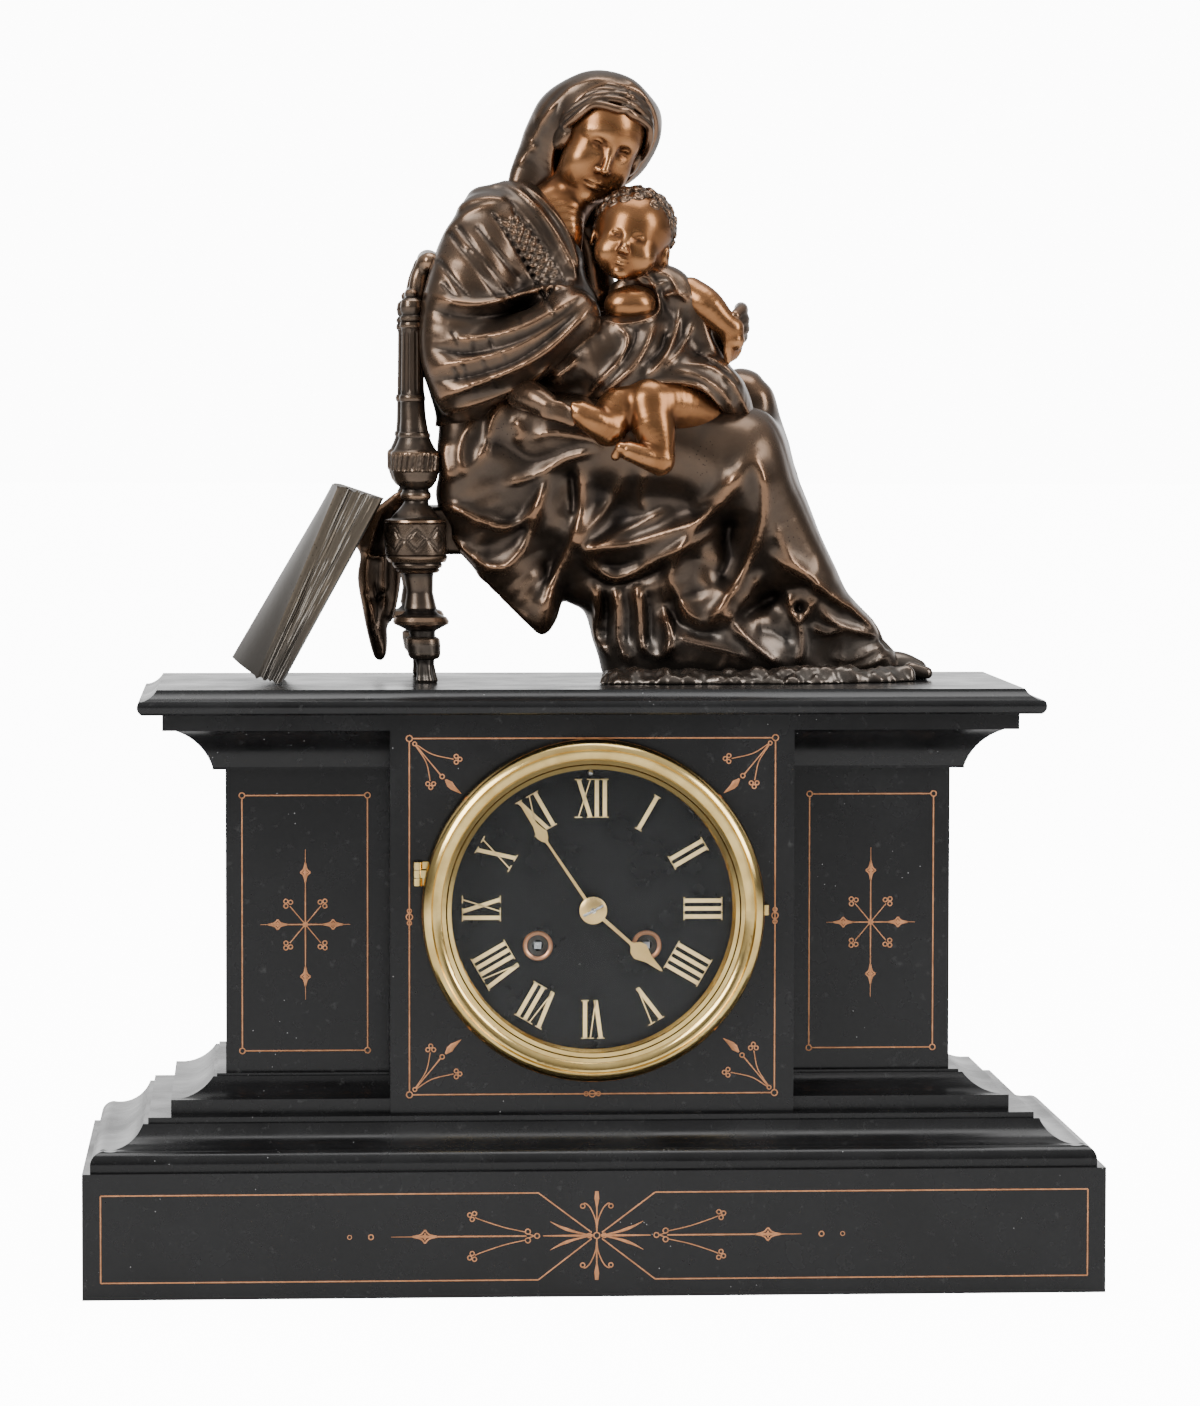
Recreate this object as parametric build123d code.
from build123d import *
import math
import os

# Figural mantel clock: a black slate case, a round movement and a seated bronze group.
# X runs to the right, Y to the back and Z up. The origin is the middle of the underside.
# All lengths are millimetres.

# Running fits
running_clearance = 0.05
seat_clearance = 0.3
overrun = 1.0

# Plinth block
plinth_width = 400.0
plinth_depth = 158.0
plinth_height = 49.3
half_width = plinth_width / 2
case_front = -plinth_depth / 2
case_back = plinth_depth / 2

# Base moulding: a rounded nose under a cove
base_height = 18.7
base_setback = 3.1
base_nose_straight = 2.5
base_nose_round = 5.0
base_nose_height = 8.0
base_nose_bulge = 1.6
base_top_setback = 25.2
base_quirk = 2.0
base_fillet = 2.2
base_cove_depth = 3.2
pendulum_well_width = 46.0
pendulum_well_depth = 12.0

# Pier plinths: a square fascia under a cove
step_height = 15.0
step_setback = 34.0
step_fascia = 5.8
step_quirk = 1.4
step_cove_depth = 2.2
step_top_setback = 51.9
step_fillet = 1.0

# Piers
pier_setback = 55.5
pier_height = 120.0
pier_wall = 14.0
pier_rebate_width = 66.0

# Centre panel
panel_half_width = 79.75
panel_setback = 31.0

# Cornice coves, friezes and top slab
cornice_height = 16.5
cornice_foot_setback = 50.4
cornice_foot_fillet = 1.0
cornice_top_setback = 35.3
cornice_cove_depth = 2.6
frieze_height = 6.5
frieze_setback = 31.0
slab_nose_height = 5.4
slab_height = 9.7
slab_setback = 21.0
slab_nose_bulge = 1.3
slab_nose_quirk = 2.2
slab_top_setback = 29.0
slab_cove_depth = 0.8

# Levels
base_z = plinth_height
step_z = base_z + base_height
pier_z = step_z + step_height
cornice_z = pier_z + pier_height
frieze_z = cornice_z + cornice_height
slab_z = frieze_z + frieze_height
slab_top = slab_z + slab_height

# Inside of the case
cavity_half_width = half_width - pier_setback - pier_wall
cavity_front = case_front + pier_setback + pier_wall
back_panel_thickness = 12.0
cavity_back = case_back - back_panel_thickness
panel_front = case_front + panel_setback
panel_back = case_front + pier_setback

# Iron rods that hold the slabs and the group together
rod_radius = 2.5
rod_corner_inset = 8.0
rod_nut_width = 9.0
rod_nut_height = 4.0
rod_counterbore = 8.0
rod_counterbore_depth = 12.0
rod_blind_depth = 6.0
rod_spare_length = 3.0
group_rod_grip = 8.0
group_rod_places_shares = [(0.30, 0.14), (0.56, 0.16)]

# Dial and bezel
dial_z = 148.7
panel_hole_radius = 58.8
bezel_radius = 67.6
bezel_tube_wall = 1.7
bezel_tube_length = 10.0
bezel_flange_radius = 66.6
bezel_flange = 2.0
door_gap = 0.3
door_depth = 9.0
door_roll_radius = 3.6
door_sight_radius = 59.7
door_slip_radius = 56.0
glass_thickness = 2.0
glass_radius = 58.2
glass_seat_depth = 4.9
dial_recess = 2.5
dial_thickness = 1.5
dial_radius = 56.5
dial_foot_radius = 1.2
dial_foot_ring = 42.0
dial_foot_degrees = [60, 180, 300]
winding_hole_radius = 5.2
winding_eyelet_radius = 5.9
hinge_pin_radius = 0.8
hinge_knuckle_radius = 1.8
hinge_knuckle_length = 3.2
hinge_above_centre = 10.0
hinge_leaf = 1.4
catch_radius = 2.0

# Plates of the movement
plate_radius = 45.0
plate_thickness = 2.0
plate_spacing = 32.0
motion_gap = 9.0
pillar_radius = 2.2
pillar_collar_radius = 2.8
pillar_places_shares = [(0.356, -0.856), (-0.356, -0.856), (0.667, 0.644), (-0.300, 0.873)]
pillar_nut_height = 1.6
strap_width = 12.0
strap_thickness = 2.4
strap_screw_radius = 2.2

# Depths, from the dial to the back
dial_front = panel_front + dial_recess
dial_back = dial_front + dial_thickness
front_plate_y = dial_back + motion_gap
between_front = front_plate_y + plate_thickness
between_back = between_front + plate_spacing
back_plate_y = between_back + plate_thickness
flange_front = panel_front - bezel_flange
door_back_y = flange_front - door_gap

# Gear shapes: addendum, dedendum, tip width and root width as shares of module and pitch
wheel_tooth_shares = (0.9, 1.7, 0.10, 0)
pinion_tooth_shares = (0.6, 1.35, 0.20, 0.34)
leaf_count = 6
arbor_radius = 1.0
arbor_root_share = 0.94
pivot_share = 0.55
arbor_shake = 0.2
wheel_thickness = 1.2
pinion_length = 4.0
wheel_rim = 2.4
wheel_hub_radius = 3.2
spoke_half_width = 0.9
spoke_count = 4

# Barrels
barrel_teeth = 48
power_module = 0.75
barrel_place = (21.5, -14.5)
barrel_radius = 16.0
barrel_wall = 1.2
barrel_front_gap = 1.6
barrel_length = 14.4
barrel_cover = 0.8
barrel_floor = 0.8
barrel_gear_thickness = 1.8
winding_radius = 2.0
winding_core_radius = 4.0
winding_square = 2.7
winding_tip_gap = 0.6
spring_inner_radius = 4.6
spring_outer_radius = 14.2
spring_turns = 7
spring_strip = 0.55
ratchet_teeth = 16
ratchet_radius = 6.5
ratchet_depth = 0.9
ratchet_thickness = 1.4
click_thickness = 1.4
click_gap = 0.25
click_boss_radius = 1.9
click_pivot_radius = 0.8
click_place = (9.0, -8.0)

# Going train: teeth and modules
intermediate_teeth = 42
intermediate_lean_degrees = 77.7
centre_teeth = 72
centre_module = 0.42
third_teeth = 75
third_module = 0.36
escape_teeth = 36
escape_radius = 9.0
escape_tooth_depth = 1.5
pallet_rise = 12.0
pallet_inner_gap = 1.4
pallet_band = 2.2
pallet_reach_degrees = 46
pallet_nib = 0.5
crutch_length = 35.0
crutch_width = 1.6
crutch_fork = 6.0

# Strike train: teeth and modules
pin_wheel_teeth = 30
pin_wheel_module = 0.6
pin_wheel_degrees = 151.0
locking_teeth = 30
locking_module = 0.5
locking_degrees = 71.1
fly_degrees = 39.1
lifting_pin_radius = 0.6
lifting_pin_ring = 6.4
lifting_pin_length = 3.0
lifting_pins = 8
fly_radius = 7.6
fly_vane_length = 9.0
fly_vane_thickness = 0.6

# Motion work
motion_module = 0.5
cannon_teeth = 10
minute_wheel_teeth = 30
minute_pinion_teeth = 8
hour_wheel_teeth = 32
minute_wheel_degrees = 45
centre_nose_radius = 1.0
cannon_wall = 0.55
hour_pipe_wall = 0.65
stud_radius = 0.9

# Hands
hand_thickness = 0.6
hour_hand_y_gap = 4.9
minute_hand_y_gap = 7.0
minute_hand_length = 52.3
hour_hand_length = 36.8
minute_hand_degrees = 34.1
hour_hand_degrees = -131.5
minute_hand_shares = [(0.06, 0.012), (0.60, 0.0085), (0.63, 0.012), (0.65, 0.030), (0.69, 0.046), (0.78, 0.020), (0.98, 0.008)]
hour_hand_shares = [(0.08, 0.020), (0.54, 0.017), (0.57, 0.030), (0.61, 0.080), (0.68, 0.100), (0.80, 0.045), (0.97, 0.014)]
hand_boss_radius = 3.4
collet_radius = 5.4
collet_height = 1.0

# Striking work behind the back plate
hammer_place = (-41.0, -6.0)
hammer_arm_y = 20.0
hammer_arm_length = 30.4
hammer_arm_degrees = 64.7
hammer_arm_radius = 1.0
hammer_head_radius = 4.0
hammer_head_length = 9.0
hammer_tail_length = 12.4
bell_place = (0.0, -2.0)
bell_radius = 32.0
bell_wall = 1.4
bell_mouth_y = 23.0
bell_depth = 24.0
bell_crown_radius = 9.0
bell_post_place = (30.0, -28.0)
bell_post_radius = 2.5
bell_post_gap = 0.3

# Pendulum
pendulum_gap = 9.0
pendulum_y = back_plate_y + pendulum_gap
pendulum_length = 110.5
pendulum_rod_radius = 1.1
bob_radius = 15.0
bob_thickness = 8.0
bob_rim = 1.6
rating_nut_radius = 3.0
rating_nut_height = 2.6
cock_width = 14.0
cock_thickness = 2.4
cock_drop = 12.0
cock_rise = 3.6
spring_blade = 0.3
spring_blade_width = 5.0
pendulum_head = 3.0

# Back of the case
back_hole_radius = 52.0
back_tube_wall = 1.3
back_flange_radius = 60.0
back_flange = 1.6
back_door_radius = 57.5
back_door_thickness = 1.4
back_door_lip = 1.2

# Bronze group: a tenth of its height is the unit of its tables
group_height = 249.0
tenth = group_height / 10
lap_share = 4.55
neck_share = 7.75
child_chin_share = 6.62
child_back_share = 0.48
arm_front_share = -0.12
leg_front_share = -0.376
seat_top_share = 2.972
seat_thickness = 20.0
seat_reach_share = 2.41
seat_setback = 1.5
post_spacing_share = 2.49
post_place_share = -2.691
post_y = 0.0
post_height_share = 6.546
seat_block = 25.0
back_panel_bronze = 4.0
back_rail = 7.0
back_height_share = 0.83
cloth_thickness = 3.0
cloth_drop = 66.0
cloth_width = 22.0
cloth_wave = 1.6
cloth_folds = 4
book_height = 87.0
book_width = 42.0
book_thickness = 19.5
book_board = 1.8
book_square = 1.5
book_spine_bulge = 2.4
book_lean_degrees = 31.0
book_reach = 56.3
book_front_y = -15.0

# Places of the chair and the book
seat_top = seat_top_share * tenth
seat_front_overlap = seat_reach_share * tenth
post_spacing = post_spacing_share * tenth
post_x = post_place_share * tenth
post_height = post_height_share * tenth
book_foot_x = post_x - book_reach


def flat(sketch, front, back):
    """A sketch drawn in X and Z, made solid from one depth to another."""
    plane = Plane(origin=(0, back, 0), x_dir=(1, 0, 0), z_dir=(0, -1, 0))
    return extrude(plane * sketch, amount=back - front)


def disc(radius, place=(0, 0)):
    """A round sketch placed from the middle of the dial."""
    return Pos(place[0], dial_z + place[1]) * Circle(radius)


def block(low, high):
    """A square block between two corners."""
    size = [b - a for a, b in zip(low, high)]
    middle = [(a + b) / 2 for a, b in zip(low, high)]
    return Pos(*middle) * Box(*size)


def outline(points):
    """A closed face; a third number bulges the line that leads to a point."""
    edges = []
    for start, end in zip(points, points[1:] + points[:1]):
        if len(end) > 2:
            edges.append(SagittaArc(start[:2], end[:2], end[2]))
        else:
            edges.append(Line(start[:2], end[:2]))
    return make_face(edges)


def turned(points, place=(0, 0)):
    """A form turned about a depth line, from (radius, depth) points."""
    return Pos(place[0], 0, dial_z + place[1]) * revolve(outline(points), axis=Axis.Y)


def turned_up(points, place=(0, 0, 0)):
    """A form turned about an upright line, from (radius, height) points."""
    return Pos(*place) * revolve(Plane.XZ * outline(points), axis=Axis.Z)


def polar(radius, degrees, place=(0, 0)):
    """The point at a radius and an angle from a place."""
    angle = math.radians(degrees)
    return (place[0] + radius * math.cos(angle), place[1] + radius * math.sin(angle))


def apart(a, b):
    """The distance between two places."""
    return math.hypot(b[0] - a[0], b[1] - a[1])


def moulded(profile, bottom):
    """A slab moulded on its front and both sides, mitred, with a flush back."""
    top = bottom + profile[-1][1]
    side = [(half_width - point[0], bottom + point[1], *point[2:]) for point in profile]
    face = outline([(0, bottom)] + side + [(0, top)])
    right = flat(face, case_front, case_back)
    across = right + mirror(right, about=Plane.YZ)
    fore = [(-case_front - point[0], bottom + point[1], *point[2:]) for point in profile]
    plane = Plane(origin=(half_width, 0, 0), x_dir=(0, -1, 0), z_dir=(-1, 0, 0))
    lengthways = extrude(plane * outline([(-case_back, bottom)] + fore + [(-case_back, top)]), amount=plinth_width)
    return across & lengthways


def case_space(bottom, top, panel_width=panel_half_width):
    """The space behind a front wall and between side walls, with the gap for the panel."""
    inside = block((-cavity_half_width, cavity_front, bottom), (cavity_half_width, case_back, top))
    panel = block((-panel_width, case_front, bottom), (panel_width, panel_back, top))
    rebate = block((-pier_rebate_width, panel_back, bottom), (pier_rebate_width, cavity_front, top))
    return inside + panel + rebate


def rod_places():
    """The four corner rods, inside the case."""
    x = cavity_half_width - rod_corner_inset
    rows = (cavity_front + rod_corner_inset, cavity_back - rod_corner_inset)
    return [(side * x, y) for side in (-1, 1) for y in rows]


def group_rod_places():
    """The two rods under the group."""
    return [(half_width * x, half_width * y) for x, y in group_rod_places_shares]


def upright(radius, bottom, top, place):
    """A round rod along Z."""
    return Pos(place[0], place[1], bottom) * Cylinder(radius, top - bottom, align=(Align.CENTER, Align.CENTER, Align.MIN))


def base_plinth():
    """The slate block on which everything stands."""
    body = block((-half_width, case_front, 0), (half_width, case_back, plinth_height))
    for place in rod_places():
        body -= upright(rod_radius, 0, plinth_height, place)
        body -= upright(rod_counterbore, 0, rod_counterbore_depth, place)
    return body


def base_moulding():
    """The moulded slab over the plinth, with a well for the pendulum."""
    body = moulded([
        (base_setback, 0),
        (base_setback, base_nose_straight),
        (base_setback + base_nose_round, base_nose_height, -base_nose_bulge),
        (base_top_setback - base_quirk, base_height - base_fillet, base_cove_depth),
        (base_top_setback, base_height - base_fillet),
        (base_top_setback, base_height),
    ], base_z)
    for place in rod_places():
        body -= upright(rod_radius, base_z, step_z, place)
    well_half = pendulum_well_width / 2
    low = (-well_half, pendulum_y - bob_thickness, step_z - pendulum_well_depth)
    high = (well_half, pendulum_y + bob_thickness, step_z)
    return body - block(low, high)


def pier_plinths():
    """The stepped feet of the piers, left and right of the panel."""
    body = moulded([
        (step_setback, 0),
        (step_setback, step_fascia),
        (step_setback + step_quirk, step_fascia),
        (step_top_setback - step_quirk, step_height - 2 * step_fillet, step_cove_depth),
        (step_top_setback, step_height - 2 * step_fillet),
        (step_top_setback, step_height - step_fillet),
        (pier_setback, step_height - step_fillet),
        (pier_setback, step_height),
    ], step_z)
    return body - case_space(step_z, pier_z)


def piers():
    """The two plain piers with their side walls."""
    body = moulded([(pier_setback, 0), (pier_setback, pier_height)], pier_z)
    return body - case_space(pier_z, cornice_z)


def cornices():
    """The coves over the piers."""
    body = moulded([
        (cornice_foot_setback, 0),
        (cornice_foot_setback, cornice_foot_fillet),
        (cornice_top_setback, cornice_height, cornice_cove_depth),
    ], cornice_z)
    return body - case_space(cornice_z, frieze_z)


def friezes():
    """The flat slabs between the coves and the top."""
    body = moulded([(frieze_setback, 0), (frieze_setback, frieze_height)], frieze_z)
    return body - case_space(frieze_z, slab_z)


def centre_panel():
    """The slab that carries the dial, with its round hole."""
    low = (-panel_half_width, panel_front, step_z)
    high = (panel_half_width, panel_back, slab_z)
    return block(low, high) - flat(disc(panel_hole_radius), panel_front, panel_back)


def top_slab():
    """The top, with a round nose and a raised table."""
    body = moulded([
        (slab_setback + slab_nose_quirk, 0),
        (slab_setback + slab_nose_quirk / 2, slab_nose_height, -slab_nose_bulge),
        (slab_setback + slab_nose_quirk, slab_nose_height),
        (slab_top_setback, slab_height, slab_cove_depth),
    ], slab_z)
    for place in rod_places():
        body -= upright(rod_radius, slab_z, slab_z + rod_blind_depth, place)
    for place in group_rod_places():
        body -= upright(rod_radius, slab_z, slab_top, place)
    return body


def back_panel():
    """The slab that closes the back, with the hole for the back door."""
    low = (-cavity_half_width, cavity_back, step_z)
    high = (cavity_half_width, case_back, slab_z)
    return block(low, high) - flat(disc(back_hole_radius), cavity_back, case_back)


def tie_rods():
    """Threaded rods with square nuts: four through the case, two under the group."""
    nut = rod_nut_width / 2
    parts = []
    for x, y in rod_places():
        seat = rod_counterbore_depth
        rod = upright(rod_radius, seat - rod_nut_height - rod_spare_length, slab_z + rod_blind_depth, (x, y))
        parts.append(rod + block((x - nut, y - nut, seat - rod_nut_height), (x + nut, y + nut, seat)))
    for x, y in group_rod_places():
        rod = upright(rod_radius, slab_z - rod_nut_height - rod_spare_length, slab_top + group_rod_grip, (x, y))
        parts.append(rod + block((x - nut, y - nut, slab_z - rod_nut_height), (x + nut, y + nut, slab_z)))
    return parts


def gear_face(teeth, module, place, degrees, shares):
    """A toothed outline, with one tooth pointing at the given angle."""
    addendum, dedendum, tip, root = shares
    pitch_radius = teeth * module / 2
    tip_radius = pitch_radius + addendum * module
    root_radius = pitch_radius - dedendum * module
    step = 360 / teeth
    points = []
    for tooth in range(teeth):
        middle = degrees + tooth * step
        first_root = middle - step / 2 + step * (0 if root == 0 else (1 - root) / 2)
        points.append(polar(root_radius, first_root, place))
        points.append(polar(tip_radius, middle - step * tip / 2, place))
        points.append(polar(tip_radius, middle + step * tip / 2, place))
        if root:
            points.append(polar(root_radius, middle + step * root / 2, place))
    return Pos(0, dial_z) * make_face(Polyline(*points, close=True))


def meshed_degrees(teeth, degrees, follower_teeth, place, follower_place):
    """The follower's tooth angle that sets it in mesh with a gear."""
    line = math.degrees(math.atan2(follower_place[1] - place[1], follower_place[0] - place[0]))
    return line + 180 - teeth / follower_teeth * (degrees - line) - 180 / follower_teeth


def windows(outer, inner, place, degrees=0):
    """The openings between the spokes of a wheel."""
    ring = Circle(outer) - Circle(inner)
    for spoke in range(spoke_count // 2):
        angle = degrees + spoke * 360 / spoke_count
        ring -= Rot(0, 0, angle) * Rectangle(2 * (outer + inner), 2 * spoke_half_width)
    return Pos(place[0], dial_z + place[1]) * ring


def wheel(teeth, module, place, degrees, front, thickness=wheel_thickness, crossed=True):
    """A thin toothed wheel, crossed out into spokes where there is room."""
    face = gear_face(teeth, module, place, degrees, wheel_tooth_shares)
    root = teeth * module / 2 - wheel_tooth_shares[1] * module
    if crossed:
        face -= windows(root - wheel_rim + module, wheel_hub_radius, place, degrees)
    return flat(face, front, front + thickness)


def pinion(teeth, module, place, degrees, front, length=pinion_length):
    """A short pinion with straight leaves."""
    return flat(gear_face(teeth, module, place, degrees, pinion_tooth_shares), front, front + length)


def pinion_arbor_radius(module, leaves=leaf_count):
    """The arbor's radius, no thicker than the root of its pinion."""
    root = leaves * module / 2 - pinion_tooth_shares[1] * module
    return min(arbor_radius, root * arbor_root_share)


def arbor(place, radius):
    """A turned arbor between the plates, with a pivot at each end."""
    pivot = radius * pivot_share
    body = flat(disc(radius, place), between_front + arbor_shake, between_back - arbor_shake)
    return body + flat(disc(pivot, place), front_plate_y, back_plate_y)


# Places of the arbors from the middle of the dial, and the angle of each gear

def solve_place(a, reach_a, b, reach_b, side):
    """The place at one reach from a and another from b, on the given side."""
    span = apart(a, b)
    along = (span ** 2 + reach_a ** 2 - reach_b ** 2) / (2 * span)
    off = side * math.sqrt(reach_a ** 2 - along ** 2)
    ux, uz = (b[0] - a[0]) / span, (b[1] - a[1]) / span
    return (a[0] + along * ux - off * uz, a[1] + along * uz + off * ux)


def reach(teeth, module, leaves=leaf_count):
    """The distance between a wheel and its pinion."""
    return (teeth + leaves) * module / 2


centre = (0, 0)
time_barrel_place = barrel_place
strike_barrel_place = (-barrel_place[0], barrel_place[1])
power_reach = reach(barrel_teeth, power_module)
second_reach = reach(intermediate_teeth, power_module)
intermediate_place = solve_place(time_barrel_place, power_reach, centre, second_reach, -1)
strike_intermediate_place = (-intermediate_place[0], intermediate_place[1])
third_place = polar(reach(centre_teeth, centre_module), 90)
escape_place = polar(reach(third_teeth, third_module), 90, third_place)
pallet_place = polar(pallet_rise, 90, escape_place)
pin_wheel_place = polar(second_reach, pin_wheel_degrees, strike_intermediate_place)
locking_place = polar(reach(pin_wheel_teeth, pin_wheel_module), locking_degrees, pin_wheel_place)
fly_place = polar(reach(locking_teeth, locking_module), fly_degrees, locking_place)
minute_wheel_place = polar((cannon_teeth + minute_wheel_teeth) * motion_module / 2, minute_wheel_degrees)

barrel_front = between_front + barrel_front_gap
barrel_gear_y = barrel_front + barrel_length
power_pinion_y = barrel_gear_y - (pinion_length - barrel_gear_thickness) / 2
second_wheel_y = power_pinion_y + pinion_length + 2 * wheel_thickness
second_pinion_y = second_wheel_y - (pinion_length - wheel_thickness) / 2
centre_wheel_y = second_pinion_y + pinion_length + wheel_thickness
centre_pinion_y = centre_wheel_y - (pinion_length - wheel_thickness) / 2
strike_second_y = centre_wheel_y + 1.5 * wheel_thickness
strike_pinion_y = strike_second_y - (pinion_length - wheel_thickness) / 2
third_wheel_y = barrel_front + barrel_length / 2
third_pinion_y = third_wheel_y - (pinion_length - wheel_thickness) / 2
escape_y = between_back - 3 * wheel_thickness
pin_wheel_y = barrel_front + barrel_length / 3
pin_pinion_y = pin_wheel_y - (pinion_length - wheel_thickness) / 2
locking_wheel_y = pin_wheel_y + 4 * wheel_thickness
locking_pinion_y = locking_wheel_y - (pinion_length - wheel_thickness) / 2
fly_vane_y = locking_pinion_y + pinion_length + wheel_thickness
motion_y = front_plate_y - 2 * wheel_thickness
hour_wheel_y = motion_y - 3 * wheel_thickness
ratchet_y = front_plate_y - ratchet_thickness - running_clearance
minute_hand_y = dial_front - minute_hand_y_gap
hour_hand_y = dial_front - hour_hand_y_gap
cannon_bore = centre_nose_radius + running_clearance
cannon_radius = cannon_bore + cannon_wall
hour_bore = cannon_radius + running_clearance
hour_pipe_radius = hour_bore + hour_pipe_wall


def pivot_table():
    """Each arbor's place and the radius of its pivot."""
    table = []
    for place, module in (
        (intermediate_place, power_module),
        (third_place, centre_module),
        (escape_place, third_module),
        (strike_intermediate_place, power_module),
        (pin_wheel_place, power_module),
        (locking_place, pin_wheel_module),
        (fly_place, locking_module),
    ):
        table.append((place, pinion_arbor_radius(module) * pivot_share))
    table.append((pallet_place, arbor_radius * pivot_share))
    return table


def plate_face():
    """The round plate with its two lugs."""
    lug = Pos(0, dial_z) * Rectangle(2 * strap_x(), strap_width / 2)
    return disc(plate_radius) + lug


def strap_x():
    """The inner face of the side straps."""
    half = strap_width / 2
    tube_inner = panel_hole_radius - seat_clearance - bezel_tube_wall
    return math.sqrt(tube_inner ** 2 - half ** 2) - strap_thickness


def front_plate():
    """The front plate with its holes, the minute wheel's stud and the click studs."""
    face = plate_face()
    for place, pivot in pivot_table():
        face -= disc(pivot + running_clearance, place)
    for place in (time_barrel_place, strike_barrel_place):
        face -= disc(winding_radius + running_clearance, place)
    face -= disc(arbor_radius + running_clearance)
    face -= disc(arbor_radius * pivot_share + running_clearance, hammer_place)
    for place in pillar_places():
        face -= disc(pillar_radius, place)
    body = flat(face, front_plate_y, between_front)
    body += flat(disc(stud_radius, minute_wheel_place), hour_wheel_y - wheel_thickness, front_plate_y)
    for side in (1, -1):
        place = click_centre(side)
        body += flat(disc(click_pivot_radius, place), ratchet_y, front_plate_y)
    return body


def back_plate():
    """The back plate with its holes."""
    face = plate_face()
    for place, pivot in pivot_table()[:-1]:
        face -= disc(pivot + running_clearance, place)
    face -= disc(arbor_radius + running_clearance, pallet_place)
    for place in (time_barrel_place, strike_barrel_place):
        face -= disc(winding_radius * pivot_share + running_clearance, place)
    face -= disc(arbor_radius * pivot_share + running_clearance)
    face -= disc(arbor_radius + running_clearance, hammer_place)
    for place in pillar_places():
        face -= disc(pillar_radius, place)
    return flat(face, between_back, back_plate_y)


def pillar_places():
    """The four pillars, as shares of the plate's radius."""
    return [(plate_radius * x, plate_radius * z) for x, z in pillar_places_shares]


def plate_pillars():
    """Turned pillars that hold the plates apart, with their nuts."""
    parts = []
    for place in pillar_places():
        front = front_plate_y - pillar_nut_height
        back = back_plate_y + pillar_nut_height
        parts.append(turned([
            (0, front),
            (pillar_collar_radius, front),
            (pillar_collar_radius, front_plate_y),
            (pillar_radius, front_plate_y),
            (pillar_radius, between_front),
            (pillar_collar_radius, between_front),
            (pillar_radius, between_front + pillar_collar_radius),
            (pillar_radius, between_back - pillar_collar_radius),
            (pillar_collar_radius, between_back),
            (pillar_radius, between_back),
            (pillar_radius, back_plate_y),
            (pillar_collar_radius, back_plate_y),
            (pillar_collar_radius, back),
            (0, back),
        ], place))
    return parts


def movement_straps():
    """Two brass straps that draw the front bezel and the back ring together."""
    parts = []
    half = strap_width / 2
    for side in (-1, 1):
        inner, outer = sorted((side * strap_x(), side * (strap_x() + strap_thickness)))
        back_ring_inner = back_hole_radius - seat_clearance - back_tube_wall
        foot_in, foot_out = sorted((side * (strap_x() + strap_thickness), side * (back_ring_inner - half)))
        strap = block((inner, dial_back + seat_clearance, dial_z - half), (outer, cavity_back - seat_clearance, dial_z + half))
        back_y = cavity_back - seat_clearance
        foot = block((foot_in, back_y - strap_thickness, dial_z - half), (foot_out, back_y, dial_z + half))
        parts.append(strap + foot)
    return parts


def bezel_ring():
    """The fixed brass ring in the panel, with the lower knuckle of the hinge."""
    tube_radius = panel_hole_radius - seat_clearance
    inner = tube_radius - bezel_tube_wall
    ring = turned([
        (inner, flange_front),
        (bezel_flange_radius, flange_front),
        (bezel_flange_radius, panel_front),
        (tube_radius, panel_front),
        (tube_radius, panel_front + bezel_tube_length),
        (inner, panel_front + bezel_tube_length),
    ])
    return ring + hinge_knuckle(0) + hinge_knuckle(2)


def hinge_axis():
    """The place of the front hinge, left of the ring at its height."""
    low = hinge_above_centre
    x = -math.sqrt(bezel_radius ** 2 - low ** 2) - hinge_knuckle_radius - door_gap
    return x, door_back_y - hinge_leaf


def hinge_knuckle(index):
    """One knuckle of the front hinge with its leaf."""
    x, y = hinge_axis()
    bottom = dial_z + hinge_above_centre + index * hinge_knuckle_length
    top = bottom + hinge_knuckle_length - door_gap
    barrel = upright(hinge_knuckle_radius, bottom, top, (x, y))
    if index == 1:
        leaf = block((x, y - hinge_leaf, bottom), (x + 2 * hinge_knuckle_radius + hinge_leaf, y, top))
    else:
        leaf = block((x, flange_front, bottom), (x + 3 * hinge_knuckle_radius, panel_front, top))
        leaf += block((x, y, bottom), (x + hinge_knuckle_radius, panel_front, top)) - upright(
            hinge_knuckle_radius, bottom, top, (x, y))
    bore = hinge_pin_radius + (running_clearance if index == 1 else 0)
    return barrel + leaf - upright(bore, bottom, top, (x, y))


def door_ring():
    """The polished ring that holds the glass, with its hinge knuckle and catch."""
    front = door_back_y - door_depth
    seat = door_back_y - glass_seat_depth
    ring = turned([
        (glass_radius, door_back_y),
        (bezel_radius, door_back_y),
        (bezel_radius, door_back_y - door_depth / 3),
        (bezel_radius - door_roll_radius, front, door_roll_radius / 3),
        (door_sight_radius + door_roll_radius, front + hinge_leaf),
        (door_sight_radius, front + 2 * hinge_leaf, hinge_leaf / 3),
        (door_slip_radius, seat - glass_thickness),
        (door_slip_radius + door_gap, seat - glass_thickness + door_gap),
        (glass_radius, seat - glass_thickness + door_gap),
    ])
    tab = upright(catch_radius, dial_z - catch_radius, dial_z + catch_radius, (bezel_radius, door_back_y - catch_radius))
    return ring + tab + hinge_knuckle(1)


def door_glass():
    """The flat glass, held behind the slip of the ring."""
    back = door_back_y - glass_seat_depth + door_gap
    return flat(disc(glass_radius - running_clearance), back - glass_thickness, back)


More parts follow.
